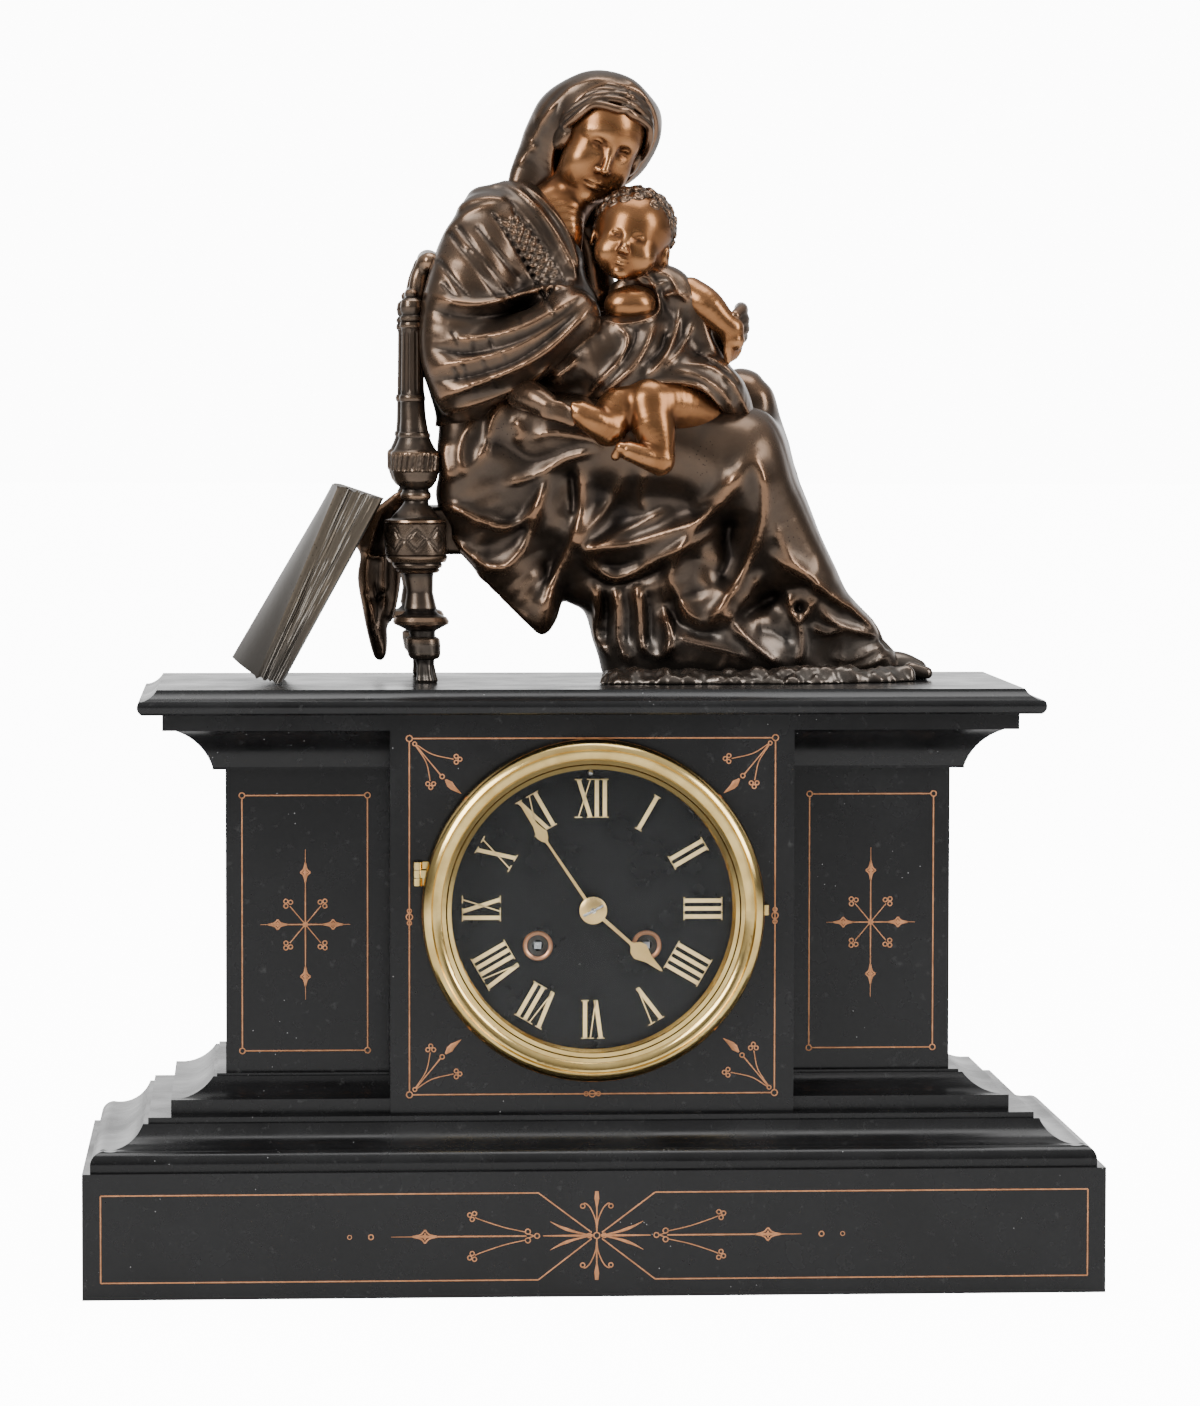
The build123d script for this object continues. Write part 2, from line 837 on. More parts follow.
def hinge_pins():
    """The pins of the front and back hinges."""
    x, y = hinge_axis()
    bottom = dial_z + hinge_above_centre
    front = upright(hinge_pin_radius, bottom, bottom + 3 * hinge_knuckle_length - door_gap, (x, y))
    bx, by = back_hinge_axis()
    low = dial_z - 3 * hinge_knuckle_length / 2
    back = upright(hinge_pin_radius, low, low + 3 * hinge_knuckle_length - door_gap, (bx, by))
    return [front, back]


def dial_plate():
    """The slate dial with its winding holes, eyelets and feet."""
    face = disc(dial_radius) - disc(hour_pipe_radius + seat_clearance)
    for place in (time_barrel_place, strike_barrel_place):
        face -= disc(winding_hole_radius, place)
    body = flat(face, dial_front, dial_back)
    for place in (time_barrel_place, strike_barrel_place):
        eyelet = disc(winding_eyelet_radius, place) - disc(winding_hole_radius, place)
        body += flat(eyelet, dial_front - seat_clearance, dial_front)
    for degrees in dial_foot_degrees:
        body += flat(disc(dial_foot_radius, polar(dial_foot_ring, degrees)), dial_back, front_plate_y)
    return body


def hand(shares, length, degrees, front, bore, boss):
    """A flat spade hand, pointing up before it is turned to its place."""
    right = [(length * width, length * along) for along, width in shares]
    left = [(-x, z) for x, z in reversed(right)]
    blade = make_face(Polyline(*right, (0, length), *left, close=True)) + Circle(boss) - Circle(bore)
    return flat(Pos(0, dial_z) * Rot(0, 0, degrees) * blade, front, front + hand_thickness)


def minute_hand():
    """The minute hand with its domed collet."""
    body = hand(minute_hand_shares, minute_hand_length, minute_hand_degrees, minute_hand_y, cannon_radius, hand_boss_radius)
    return body + turned([
        (cannon_bore, minute_hand_y),
        (cannon_bore, minute_hand_y - collet_height),
        (collet_radius, minute_hand_y, -collet_height / 4),
    ])


def hour_hand():
    """The hour hand on its pipe."""
    return hand(hour_hand_shares, hour_hand_length, hour_hand_degrees, hour_hand_y, hour_pipe_radius, hand_boss_radius + hour_pipe_wall)


cannon_degrees = minute_hand_degrees
minute_wheel_tooth = meshed_degrees(cannon_teeth, cannon_degrees, minute_wheel_teeth, centre, minute_wheel_place)
hour_wheel_tooth = meshed_degrees(minute_pinion_teeth, 0, hour_wheel_teeth, minute_wheel_place, centre)


def cannon_pinion():
    """The cannon pinion, a pipe over the centre arbor's nose."""
    gear = pinion(cannon_teeth, motion_module, centre, cannon_degrees, motion_y - wheel_thickness / 2, 2 * wheel_thickness)
    pipe = flat(disc(cannon_radius), minute_hand_y, front_plate_y - running_clearance)
    return gear + pipe - flat(disc(cannon_bore), minute_hand_y, front_plate_y)


def minute_wheel():
    """The minute wheel and its pinion, on the stud."""
    gear = wheel(minute_wheel_teeth, motion_module, minute_wheel_place, minute_wheel_tooth, motion_y, crossed=False)
    small = pinion(minute_pinion_teeth, motion_module, minute_wheel_place, 0, hour_wheel_y - wheel_thickness / 2,
                   motion_y - hour_wheel_y + wheel_thickness / 2)
    bore = flat(disc(stud_radius + running_clearance, minute_wheel_place), hour_wheel_y - wheel_thickness, front_plate_y)
    return gear + small - bore


def hour_wheel():
    """The hour wheel and its pipe."""
    gear = wheel(hour_wheel_teeth, motion_module, centre, hour_wheel_tooth, hour_wheel_y, crossed=False)
    pipe = flat(disc(hour_pipe_radius), hour_hand_y, hour_wheel_y)
    return gear + pipe - flat(disc(hour_bore), hour_hand_y, hour_wheel_y + wheel_thickness)


def barrel(place, degrees):
    """A going barrel: drum with teeth, and its snapped cover."""
    back = barrel_gear_y + barrel_gear_thickness
    bore = winding_radius + running_clearance
    floor = barrel_gear_y + barrel_gear_thickness - barrel_floor
    drum = turned([
        (barrel_radius - barrel_wall, barrel_front),
        (barrel_radius, barrel_front),
        (barrel_radius, back),
        (bore, back),
        (bore, floor),
        (barrel_radius - barrel_wall, floor),
    ], place)
    teeth = gear_face(barrel_teeth, power_module, place, degrees, wheel_tooth_shares) - disc(barrel_radius - barrel_wall / 2, place)
    drum += flat(teeth, barrel_gear_y, back)
    cover = disc(barrel_radius - barrel_wall, place) - disc(bore, place)
    return [drum, flat(cover, barrel_front, barrel_front + barrel_cover)]


def mainspring(place):
    """A coiled spring strip in half turns, each on a larger radius."""
    step = (spring_outer_radius - spring_inner_radius) / (2 * spring_turns)
    inner, outer = [], []
    x, radius = -spring_inner_radius, spring_inner_radius
    side = 1
    edges = []
    far = None
    for half_turn in range(2 * spring_turns):
        radius = spring_inner_radius + half_turn * step
        end = x + side * 2 * (radius + step / 2)
        middle = (x + end) / 2
        rise = side * abs(end - x) / 2
        inner.append(ThreePointArc((x, 0), (middle, rise), (end, 0)))
        far = (end + side * spring_strip, 0)
        outer.append(ThreePointArc((x - side * spring_strip, 0), (middle, rise + side * spring_strip), far))
        x = end
        side = -side
    edges = inner + outer
    edges.append(Line(inner[0] @ 0, outer[0] @ 0))
    edges.append(Line(inner[-1] @ 1, outer[-1] @ 1))
    face = Pos(place[0], dial_z + place[1]) * make_face(edges)
    return flat(face, barrel_front + barrel_cover + seat_clearance, barrel_gear_y - seat_clearance)


def winding_arbor(place):
    """The arbor of a barrel, with its winding square and ratchet."""
    body = flat(disc(winding_radius, place), ratchet_y, between_back - arbor_shake)
    core_front = barrel_front + barrel_cover + seat_clearance
    body += flat(disc(winding_core_radius, place), core_front, barrel_gear_y - seat_clearance)
    body += flat(disc(winding_radius * pivot_share, place), between_back - arbor_shake, back_plate_y)
    square = Pos(place[0], dial_z + place[1]) * Rectangle(winding_square, winding_square)
    body += flat(square, dial_front + winding_tip_gap, ratchet_y)
    points = []
    for tooth in range(ratchet_teeth):
        degrees = tooth * 360 / ratchet_teeth
        points.append(polar(ratchet_radius, degrees, place))
        points.append(polar(ratchet_radius - ratchet_depth, degrees + 1, place))
    face = Pos(0, dial_z) * make_face(Polyline(*points, close=True))
    return body + flat(face, ratchet_y, ratchet_y + ratchet_thickness)


def click_centre(side):
    """The stud of a click, outside its ratchet."""
    return (side * (barrel_place[0] + click_place[0]), barrel_place[1] + click_place[1])


def click(side):
    """The click that holds a ratchet wheel."""
    place = click_centre(side)
    wheel_place = (side * barrel_place[0], barrel_place[1])
    toward = math.degrees(math.atan2(place[1] - wheel_place[1], place[0] - wheel_place[0]))
    nose = polar(ratchet_radius + click_gap, toward + side * 24, wheel_place)
    heel = polar(ratchet_radius + click_gap + click_boss_radius, toward + side * 24, wheel_place)
    lever = Pos(0, dial_z) * make_face(Polyline(nose, heel, polar(click_boss_radius, toward + side * 90, place), place, close=True))
    face = lever + disc(click_boss_radius, place) - disc(click_pivot_radius + running_clearance, place)
    return flat(face, ratchet_y, ratchet_y + click_thickness)


# Tooth angles along the two trains

intermediate_leaf = meshed_degrees(barrel_teeth, 0, leaf_count, time_barrel_place, intermediate_place)
centre_leaf = meshed_degrees(intermediate_teeth, 0, leaf_count, intermediate_place, centre)
third_leaf = meshed_degrees(centre_teeth, 0, leaf_count, centre, third_place)
escape_leaf = meshed_degrees(third_teeth, 0, leaf_count, third_place, escape_place)
strike_leaf = meshed_degrees(barrel_teeth, 0, leaf_count, strike_barrel_place, strike_intermediate_place)
pin_leaf = meshed_degrees(intermediate_teeth, 0, leaf_count, strike_intermediate_place, pin_wheel_place)
locking_leaf = meshed_degrees(pin_wheel_teeth, 0, leaf_count, pin_wheel_place, locking_place)
fly_leaf = meshed_degrees(locking_teeth, 0, leaf_count, locking_place, fly_place)


def second_wheel(place, leaf, wheel_y):
    """The wheel after the barrel, in either train."""
    body = arbor(place, pinion_arbor_radius(power_module))
    body += pinion(leaf_count, power_module, place, leaf, power_pinion_y)
    return body + wheel(intermediate_teeth, power_module, place, 0, wheel_y)


def centre_wheel():
    """The centre wheel; its arbor's nose carries the cannon pinion."""
    body = flat(disc(arbor_radius), minute_hand_y, between_back - arbor_shake)
    body += flat(disc(arbor_radius * pivot_share), between_back - arbor_shake, back_plate_y)
    body += pinion(leaf_count, power_module, centre, centre_leaf, second_pinion_y)
    return body + wheel(centre_teeth, centre_module, centre, 0, centre_wheel_y)


def third_wheel():
    """The wheel that drives the escape pinion."""
    body = arbor(third_place, pinion_arbor_radius(centre_module))
    body += pinion(leaf_count, centre_module, third_place, third_leaf, centre_pinion_y)
    return body + wheel(third_teeth, third_module, third_place, 0, third_wheel_y)


def escape_wheel():
    """The escape wheel with its raked teeth."""
    body = arbor(escape_place, pinion_arbor_radius(third_module))
    body += pinion(leaf_count, third_module, escape_place, escape_leaf, third_pinion_y)
    points = []
    step = 360 / escape_teeth
    for tooth in range(escape_teeth):
        points.append(polar(escape_radius, tooth * step, escape_place))
        points.append(polar(escape_radius - escape_tooth_depth, tooth * step + step / 4, escape_place))
    face = Pos(0, dial_z) * make_face(Polyline(*points, close=True))
    inner = escape_radius - escape_tooth_depth - wheel_thickness
    face -= windows(inner, wheel_hub_radius / 2, escape_place)
    return body + flat(face, escape_y, escape_y + wheel_thickness)


def pallets():
    """The anchor on its arbor, with the crutch and its fork behind the plate."""
    inner = escape_radius + pallet_inner_gap
    outer = inner + pallet_band
    band = Circle(outer) - Circle(inner)
    reach_far = 2 * outer
    edge = polar(reach_far, 90 - pallet_reach_degrees)
    wedge = make_face(Polyline((0, 0), edge, (edge[0], reach_far), (-edge[0], reach_far), (-edge[0], edge[1]), close=True))
    face = Pos(escape_place[0], dial_z + escape_place[1]) * (band & wedge)
    for side in (-1, 1):
        tip = polar(inner + pallet_band / 2, 90 + side * pallet_reach_degrees, escape_place)
        face += disc(pallet_band / 2, tip)
    face += disc(pallet_band / 2 + pallet_nib, pallet_place)
    face += Pos(pallet_place[0], dial_z + (pallet_place[1] + escape_place[1] + inner) / 2) * Rectangle(
        pallet_band, pallet_place[1] - escape_place[1] - inner)
    body = flat(face, escape_y, escape_y + wheel_thickness)
    body += flat(disc(arbor_radius, pallet_place), between_front + arbor_shake, back_plate_y + 2 * crutch_width)
    body += flat(disc(arbor_radius * pivot_share, pallet_place), front_plate_y, between_front + arbor_shake)
    crutch_y = back_plate_y + crutch_width
    top = dial_z + pallet_place[1]
    half = crutch_width / 2
    body += block((-half, crutch_y, top - crutch_length), (half, crutch_y + crutch_width, top))
    prong = pendulum_rod_radius + seat_clearance
    foot = top - crutch_length
    body += block((-prong - crutch_width, crutch_y, foot - half), (prong + crutch_width, crutch_y + crutch_width, foot + half))
    for side in (-1, 1):
        near, far = sorted((side * prong, side * (prong + crutch_width)))
        body += block((near, crutch_y, foot - half), (far, pendulum_y + crutch_width, foot + half))
    return body


def pin_wheel():
    """The pin wheel, whose pins lift the hammer."""
    body = arbor(pin_wheel_place, pinion_arbor_radius(power_module))
    body += pinion(leaf_count, power_module, pin_wheel_place, pin_leaf, strike_pinion_y)
    body += wheel(pin_wheel_teeth, pin_wheel_module, pin_wheel_place, 0, pin_wheel_y, crossed=False)
    for pin in range(lifting_pins):
        place = polar(lifting_pin_ring, pin * 360 / lifting_pins, pin_wheel_place)
        body += flat(disc(lifting_pin_radius, place), pin_wheel_y - lifting_pin_length, pin_wheel_y)
    return body


def locking_wheel():
    """The wheel that locks the striking."""
    body = arbor(locking_place, pinion_arbor_radius(pin_wheel_module))
    body += pinion(leaf_count, pin_wheel_module, locking_place, locking_leaf, pin_pinion_y)
    return body + wheel(locking_teeth, locking_module, locking_place, 0, locking_wheel_y, crossed=False)


def fly():
    """The air brake of the striking train."""
    body = arbor(fly_place, pinion_arbor_radius(locking_module))
    body += pinion(leaf_count, locking_module, fly_place, fly_leaf, locking_pinion_y)
    x, z = fly_place
    half = fly_vane_thickness / 2
    low = (x - fly_radius, fly_vane_y, dial_z + z - half)
    high = (x + fly_radius, fly_vane_y + fly_vane_length, dial_z + z + half)
    return body + block(low, high)


def hammer():
    """The hammer with its arbor, tail, arm and head."""
    x, z = hammer_place
    body = flat(disc(arbor_radius, hammer_place), between_front + arbor_shake, hammer_arm_y + 2 * hammer_arm_radius)
    body += flat(disc(arbor_radius * pivot_share, hammer_place), front_plate_y, between_front + arbor_shake)
    toward = math.degrees(math.atan2(pin_wheel_place[1] - z, pin_wheel_place[0] - x))
    tail = Pos(x, dial_z + z) * Rot(0, 0, toward) * Pos(hammer_tail_length / 2, 0) * Rectangle(hammer_tail_length, 2 * arbor_radius)
    body += flat(tail, pin_wheel_y - lifting_pin_length, pin_wheel_y - seat_clearance)
    body += flat(disc(2 * arbor_radius, hammer_place), pin_wheel_y - lifting_pin_length, pin_wheel_y - seat_clearance)
    arm = Pos(x, dial_z + z) * Rot(0, 0, hammer_arm_degrees) * Pos(hammer_arm_length / 2, 0) * Rectangle(
        hammer_arm_length, 2 * hammer_arm_radius)
    body += flat(arm, hammer_arm_y, hammer_arm_y + 2 * hammer_arm_radius)
    head = polar(hammer_arm_length, hammer_arm_degrees, hammer_place)
    return body + flat(disc(hammer_head_radius, head), hammer_arm_y - hammer_arm_radius, hammer_arm_y - hammer_arm_radius + hammer_head_length)


def bell():
    """The bell: a cup with a round shoulder, open to the front."""
    back = bell_mouth_y + bell_depth
    shoulder = bell_radius - bell_crown_radius
    return turned([
        (bell_radius - bell_wall, bell_mouth_y),
        (bell_radius, bell_mouth_y),
        (bell_radius, back - bell_crown_radius),
        (shoulder, back, -bell_crown_radius * 0.29),
        (bell_post_radius, back),
        (bell_post_radius, back - bell_wall),
        (shoulder, back - bell_wall),
        (bell_radius - bell_wall, back - bell_crown_radius, bell_crown_radius * 0.22),
    ], bell_place)


def bell_stand():
    """The steel stand that carries the bell from the back plate, with the bell's nut."""
    back = bell_mouth_y + bell_depth
    arm_back = back + 2 * bell_post_radius
    post = flat(disc(bell_post_radius, bell_post_place), back_plate_y, arm_back)
    dx, dz = bell_place[0] - bell_post_place[0], bell_place[1] - bell_post_place[1]
    length = math.hypot(dx, dz)
    arm = Pos(bell_post_place[0] + dx / 2, dial_z + bell_post_place[1] + dz / 2) * Rot(0, 0, math.degrees(math.atan2(dz, dx))) * Rectangle(
        length, 2 * bell_post_radius)
    post += flat(arm, back, arm_back)
    post += flat(disc(bell_post_radius * 1.6, bell_place), back, arm_back)
    pin = flat(disc(bell_post_radius, bell_place), back - 3 * bell_wall, back)
    nut = flat(disc(bell_post_radius * 1.5, bell_place), back - 3 * bell_wall, back - bell_wall)
    return post + pin + nut


def suspension_cock():
    """The cock on the back plate, with the blade that the pendulum hangs from."""
    half = cock_width / 2
    pivot_z = dial_z + pallet_place[1]
    plate_top = pivot_z + cock_rise
    foot = block((-half, back_plate_y, pivot_z + arbor_radius + seat_clearance), (half, back_plate_y + cock_thickness, plate_top + cock_thickness))
    legs = []
    for side in (-1, 1):
        near, far = sorted((side * (half - cock_thickness), side * half))
        legs.append(block((near, back_plate_y, pivot_z - cock_drop), (far, back_plate_y + cock_thickness, plate_top)))
    arm = block((-half / 2, back_plate_y, plate_top), (half / 2, pendulum_y + cock_thickness, plate_top + cock_thickness))
    blade = block((-spring_blade / 2, pendulum_y - spring_blade_width / 2, pivot_z + door_gap), (spring_blade / 2, pendulum_y + spring_blade_width / 2, plate_top))
    return foot + legs + arm + blade


def pendulum_rod():
    """The rod with its hooked head and the rating nut under the bob."""
    pivot_z = dial_z + pallet_place[1]
    bob_z = pivot_z - pendulum_length
    bottom = bob_z - bob_radius - 2 * rating_nut_height
    rod = upright(pendulum_rod_radius, bottom, pivot_z - pendulum_head / 2, (0, pendulum_y))
    half = pendulum_head / 2
    head = block((-half, pendulum_y - half, pivot_z - 2 * half), (half, pendulum_y + half, pivot_z))
    nut_top = bob_z - bob_radius
    nut = upright(rating_nut_radius, nut_top - rating_nut_height, nut_top, (0, pendulum_y))
    return rod + head + nut


def pendulum_bob():
    """The lens shaped bob on the rod."""
    pivot_z = dial_z + pallet_place[1]
    half = bob_thickness / 2
    lens = turned([
        (0, pendulum_y - half),
        (bob_radius, pendulum_y - bob_rim / 2, (bob_rim / 2 - half) / 4),
        (bob_radius, pendulum_y + bob_rim / 2),
        (0, pendulum_y + half, (bob_rim / 2 - half) / 4),
    ], (0, pallet_place[1] - pendulum_length))
    bob_z = pivot_z - pendulum_length
    return lens - upright(pendulum_rod_radius, bob_z - 2 * bob_radius, bob_z + 2 * bob_radius, (0, pendulum_y))


def back_hinge_axis():
    """The place of the back hinge, beside the ring."""
    return back_flange_radius + hinge_knuckle_radius, case_back + back_flange + door_gap + back_door_thickness / 2


def back_knuckle(index):
    """One knuckle of the back hinge with its leaf."""
    x, y = back_hinge_axis()
    bottom = dial_z + (index - 1.5) * hinge_knuckle_length
    top = bottom + hinge_knuckle_length - door_gap
    barrel_form = upright(hinge_knuckle_radius, bottom, top, (x, y))
    if index == 1:
        half = back_door_thickness / 2
        leaf = block((back_door_radius - hinge_leaf, y - half, bottom), (x, y + half, top))
    else:
        leaf = block((x - 2 * hinge_knuckle_radius, case_back, bottom), (x, case_back + back_flange, top))
    bore = hinge_pin_radius + (running_clearance if index == 1 else 0)
    return barrel_form + leaf - upright(bore, bottom, top, (x, y))


def back_ring():
    """The ring round the hole in the back."""
    outer = back_hole_radius - seat_clearance
    inner = outer - back_tube_wall
    ring = turned([
        (inner, cavity_back),
        (outer, cavity_back),
        (outer, case_back),
        (back_flange_radius, case_back),
        (back_flange_radius, case_back + back_flange),
        (inner, case_back + back_flange),
    ])
    return ring + back_knuckle(0) + back_knuckle(2)


def back_door():
    """The round brass door over the back of the movement."""
    front = case_back + back_flange + door_gap
    back = front + back_door_thickness
    disc_form = turned([
        (0, front),
        (back_door_radius, front),
        (back_door_radius, back),
        (back_door_radius - back_door_lip, back + back_door_lip / 2),
        (back_door_radius - 2 * back_door_lip, back),
        (0, back),
    ])
    knob = turned([
        (0, back),
        (catch_radius, back),
        (catch_radius, back + catch_radius),
        (0, back + catch_radius + back_door_lip / 2),
    ], (-back_door_radius * 0.84, 0))
    return disc_form + knob + back_knuckle(1)


# Bronze group. Each row is x, y, height, half width and half depth of a section,
# in tenths of the group's height, from the middle of the slab's top.

mound_shares = [
    (2.90, 0.90, 0.00, 2.85, 1.30),
    (2.90, 0.90, 0.18, 2.80, 1.25),
    (2.80, 0.90, 0.36, 2.60, 1.10),
]
skirt_shares = [
    (3.00, 0.95, 0.36, 2.55, 1.15),
    (2.62, 0.95, 0.72, 2.55, 1.32),
    (2.05, 0.95, 1.20, 2.70, 1.45),
    (1.45, 1.00, 1.75, 2.85, 1.50),
    (0.90, 1.05, 2.35, 3.10, 1.50),
    (0.70, 1.05, 3.00, 3.00, 1.45),
    (0.62, 1.05, 3.80, 2.86, 1.38),
    (0.55, 1.10, 4.55, 2.60, 1.15),
]
torso_shares = [
    (-1.05, 1.10, 4.55, 1.45, 1.15),
    (-1.05, 1.10, 5.20, 1.48, 1.20),
    (-1.10, 1.05, 6.10, 1.42, 1.17),
    (-0.98, 1.00, 6.90, 1.30, 1.10),
    (-0.70, 0.95, 7.45, 1.00, 0.90),
    (-0.40, 0.90, 7.75, 0.62, 0.62),
]
veil_shares = [
    (-0.40, 0.90, 7.75, 0.62, 0.62),
    (-0.10, 0.85, 8.40, 0.98, 0.90),
    (0.12, 0.80, 8.95, 1.10, 1.02),
    (0.25, 0.80, 9.40, 0.98, 0.95),
    (0.30, 0.80, 9.75, 0.66, 0.66),
    (0.30, 0.80, 9.97, 0.22, 0.22),
]
arm_shares = [
    (-1.30, 0.00, 6.35, 0.62),
    (-0.60, -0.25, 5.65, 0.66),
    (0.75, -0.40, 5.40, 0.56),
    (1.85, -0.30, 5.65, 0.42),
    (2.60, -0.22, 5.72, 0.30),
]
child_shares = [
    (1.25, 0.55, 4.55, 0.90, 0.66),
    (1.35, 0.58, 5.10, 0.95, 0.69),
    (1.40, 0.56, 5.80, 0.80, 0.66),
    (1.20, 0.45, 6.35, 0.52, 0.50),
    (1.05, 0.40, 6.62, 0.34, 0.34),
]
child_leg_shares = [
    (1.10, -0.42, 4.40, 0.44),
    (0.95, -0.50, 3.95, 0.38),
    (0.80, -0.50, 3.55, 0.24),
]
child_head_share = 0.66
child_head_place_shares = (0.98, 0.15, 7.20)


def sections(shares):
    """Level ellipses through which a form of the group is lofted."""
    faces = []
    for x, y, height, half, depth in shares:
        faces.append(Pos(x * tenth, y * tenth, slab_top + height * tenth) * Ellipse(half * tenth, depth * tenth))
    return loft(faces)


def limb(shares):
    """A rounded limb: balls along its line, joined by cones."""
    body = None
    for (x0, y0, z0, r0), (x1, y1, z1, r1) in zip(shares, shares[1:]):
        start = Vector(x0 * tenth, y0 * tenth, slab_top + z0 * tenth)
        end = Vector(x1 * tenth, y1 * tenth, slab_top + z1 * tenth)
        span = end - start
        plane = Plane(origin=start, z_dir=span)
        cone = plane * Cone(r0 * tenth, r1 * tenth, span.length, align=(Align.CENTER, Align.CENTER, Align.MIN))
        piece = cone + Pos(*end) * Sphere(r1 * tenth)
        if body is None:
            piece += Pos(*start) * Sphere(r0 * tenth)
        body = piece if body is None else body + piece
    return body


def group_space(x_from=-10, x_to=10, y_from=-10, y_to=10, z_from=0, z_to=10):
    """A block in tenths of the group's height, used to part two forms on a plane."""
    low = (x_from * tenth, y_from * tenth, slab_top + z_from * tenth)
    high = (x_to * tenth, y_to * tenth, slab_top + z_to * tenth)
    return block(low, high)


def group_base():
    """The rocky ground under the skirt, bored for the two rods."""
    body = sections(mound_shares)
    for place in group_rod_places():
        body -= upright(rod_radius, slab_top, slab_top + group_rod_grip, place)
    return body


def seat_space():
    """The space of the seat board between the posts."""
    top = slab_top + seat_top
    half = seat_block / 2
    low = (post_x - half + seat_setback, post_y, top - seat_thickness)
    high = (post_x + seat_front_overlap, post_y + post_spacing, top)
    return block(low, high)


def skirt():
    """The seated figure's skirt and lap, with room for the seat under it."""
    body = sections(skirt_shares) - seat_space()
    for place in group_rod_places():
        body -= upright(rod_radius, slab_top, slab_top + group_rod_grip, place)
    return body


def bust():
    """The figure's upper body, and the arm that holds the child."""
    arm = limb(arm_shares) & group_space(y_to=arm_front_share)
    return [sections(torso_shares), arm]


def veiled_head():
    """The head under its veil."""
    return sections(veil_shares)


def child_body():
    """The child's body on the lap, and its legs over the skirt."""
    body = sections(child_shares) & group_space(x_from=child_back_share, y_from=arm_front_share)
    legs = limb(child_leg_shares) & group_space(y_to=leg_front_share)
    return [body, legs]


def child_head():
    """The child's head."""
    x, y, height = child_head_place_shares
    ball = Pos(x * tenth, y * tenth, slab_top + height * tenth) * Sphere(child_head_share * tenth)
    return ball & group_space(x_from=child_back_share, y_from=-1, z_from=child_chin_share)


post_profile_shares = [
    (0.34, 0.000), (0.42, 0.010), (0.30, 0.040), (0.38, 0.055), (0.60, 0.070), (0.60, 0.095), (0.40, 0.115),
    (0.86, 0.140), (0.84, 0.155), (0.50, 0.170), (0.40, 0.200), (0.52, 0.265), (0.80, 0.280), (1.00, 0.300),
    (1.00, 0.400), (0.80, 0.410), (0.46, 0.430), (0.90, 0.450), (0.90, 0.470), (0.46, 0.485), (0.84, 0.510),
    (0.92, 0.550), (0.74, 0.575), (0.48, 0.590), (0.42, 0.830), (0.72, 0.850), (0.44, 0.870),
    (0.66, 0.900), (0.50, 0.930), (0.26, 0.950), (0.40, 0.975), (0.14, 1.000),
]


def turned_post(place):
    """A turned post, from shares of its drum's radius and of its height."""
    points = [(seat_block / 2 * r, post_height * h) for r, h in post_profile_shares]
    points = [(0, points[0][1])] + points + [(0, points[-1][1])]
    return turned_up(points, (place[0], place[1], slab_top))


def post_places():
    """The near and the far post."""
    return [(post_x, post_y), (post_x, post_y + post_spacing)]


def chair_posts():
    """Two tall turned back posts, each with a drum at the seat."""
    return [turned_post(place) for place in post_places()]


def chair_seat():
    """The seat board, cut round the back posts."""
    body = seat_space()
    for place in post_places():
        body -= upright(seat_block / 2, slab_top, slab_top + seat_top, place)
    return body


def chair_back():
    """The panel and rails between the back posts."""
    half = seat_block / 2
    top = slab_top + post_height * back_height_share
    bottom = slab_top + seat_top
    x_low = post_x - back_panel_bronze / 2
    x_high = post_x + back_panel_bronze / 2
    panel = block((x_low, post_y + half, bottom), (x_high, post_y + post_spacing - half, top))
    rails = []
    for low in (bottom + half, top - 2 * back_rail):
        rails.append(block((post_x - back_rail / 2, post_y, low), (post_x + back_rail / 2, post_y + post_spacing, low + back_rail)))
    body = panel + rails
    for place in post_places():
        body -= turned_post(place)
    return body


def hanging_cloth():
    """The end of the shawl that hangs behind the chair, in long folds."""
    top = slab_top + seat_top - back_rail / 2
    start = book_front_y + book_width + seat_clearance
    pitch = cloth_width / (2 * cloth_folds)
    near = post_x - seat_block / 2 + seat_setback - cloth_thickness
    inner, outer = [], []
    for fold in range(2 * cloth_folds + 1):
        y = start + fold * pitch
        x = near - (cloth_wave if fold % 2 else 0)
        outer.append((x, y))
        inner.append((x + cloth_thickness, y))
    face = make_face(Polyline(*outer, *reversed(inner), close=True))
    return extrude(Pos(0, 0, top - cloth_drop) * face, amount=cloth_drop)


def book():
    """A closed book that leans on the near post: boards, a round spine and the pages."""
    half = book_thickness / 2
    page_half = half - book_board
    back = book_width
    cover = outline([
        (-half, 0),
        (-page_half, 0),
        (-page_half, book_board),
        (page_half, book_board),
        (page_half, 0),
        (half, 0),
        (half, back),
        (-half, back, book_spine_bulge),
    ])
    body = extrude(cover, amount=book_height)
    pages = Pos(0, back / 2) * Rectangle(2 * page_half, back - 4 * book_board)
    for z in (0, book_height - book_square):
        body -= Pos(0, 0, z) * extrude(pages, amount=book_square)
    return Pos(book_foot_x, book_front_y, slab_top) * Rot(0, book_lean_degrees, 0) * Pos(-half, 0, 0) * body


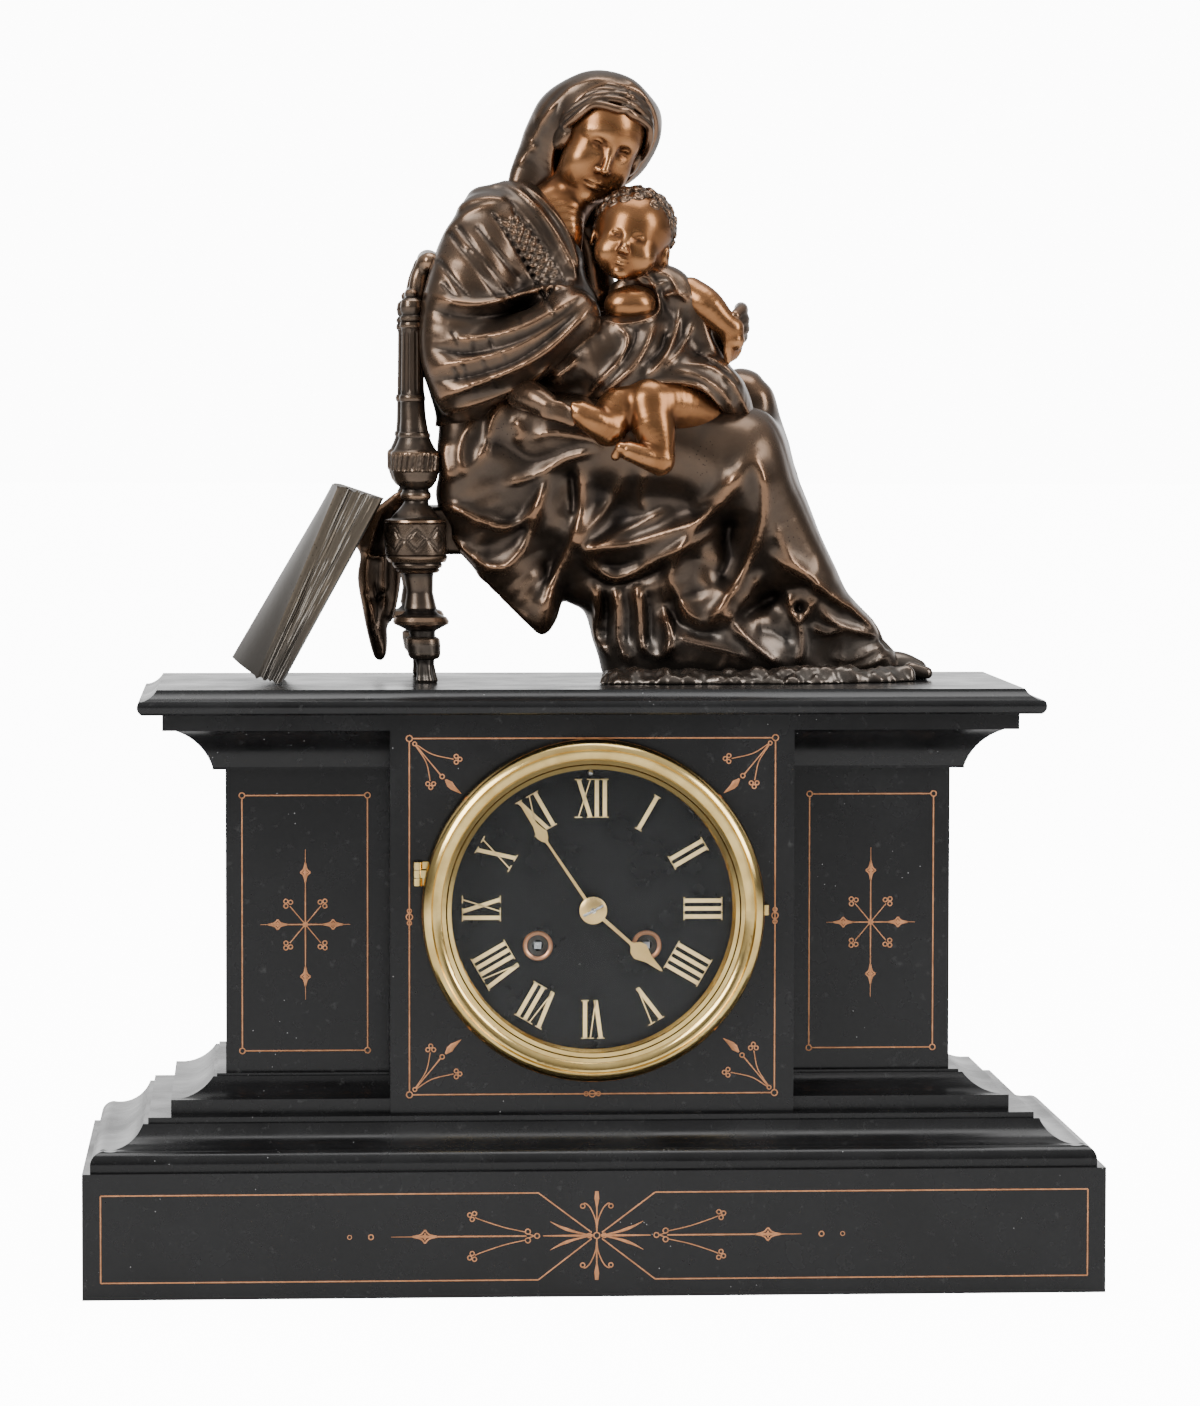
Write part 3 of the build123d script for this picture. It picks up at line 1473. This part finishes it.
def build():
    """All sub-parts, by the name of their node."""
    return {
        "base_plinth": base_plinth(),
        "base_moulding": base_moulding(),
        "pier_plinths": pier_plinths(),
        "piers": piers(),
        "centre_panel": centre_panel(),
        "cornices": cornices(),
        "friezes": friezes(),
        "top_slab": top_slab(),
        "back_panel": back_panel(),
        "tie_rods": tie_rods(),
        "bezel_ring": bezel_ring(),
        "door_ring": door_ring(),
        "door_glass": door_glass(),
        "hinge_pins": hinge_pins(),
        "dial_plate": dial_plate(),
        "minute_hand": minute_hand(),
        "hour_hand": hour_hand(),
        "cannon_pinion": cannon_pinion(),
        "minute_wheel": minute_wheel(),
        "hour_wheel": hour_wheel(),
        "front_plate": front_plate(),
        "back_plate": back_plate(),
        "plate_pillars": plate_pillars(),
        "movement_straps": movement_straps(),
        "time_barrel": barrel(time_barrel_place, 0),
        "time_mainspring": mainspring(time_barrel_place),
        "time_winding_arbor": winding_arbor(time_barrel_place),
        "time_click": click(1),
        "intermediate_wheel": second_wheel(intermediate_place, intermediate_leaf, second_wheel_y),
        "centre_wheel": centre_wheel(),
        "third_wheel": third_wheel(),
        "escape_wheel": escape_wheel(),
        "pallets": pallets(),
        "strike_barrel": barrel(strike_barrel_place, 0),
        "strike_mainspring": mainspring(strike_barrel_place),
        "strike_winding_arbor": winding_arbor(strike_barrel_place),
        "strike_click": click(-1),
        "strike_intermediate_wheel": second_wheel(strike_intermediate_place, strike_leaf, strike_second_y),
        "pin_wheel": pin_wheel(),
        "locking_wheel": locking_wheel(),
        "fly": fly(),
        "hammer": hammer(),
        "bell": bell(),
        "bell_stand": bell_stand(),
        "suspension_cock": suspension_cock(),
        "pendulum_rod": pendulum_rod(),
        "pendulum_bob": pendulum_bob(),
        "back_ring": back_ring(),
        "back_door": back_door(),
        "group_base": group_base(),
        "skirt": skirt(),
        "bust": bust(),
        "veiled_head": veiled_head(),
        "child_body": child_body(),
        "child_head": child_head(),
        "chair_posts": chair_posts(),
        "chair_seat": chair_seat(),
        "chair_back": chair_back(),
        "hanging_cloth": hanging_cloth(),
        "book": book(),
    }


def save(name, shape):
    """One STEP file for a node, whether one solid or a group."""
    if isinstance(shape, list):
        solids = [solid for piece in shape for solid in piece.solids()]
    else:
        solids = list(shape.solids())
    whole = solids[0] if len(solids) == 1 else Compound(children=solids)
    export_step(whole, "parts/" + name + ".step")
    return len(solids)


os.makedirs("parts", exist_ok=True)
for name, shape in build().items():
    print(name, save(name, shape))
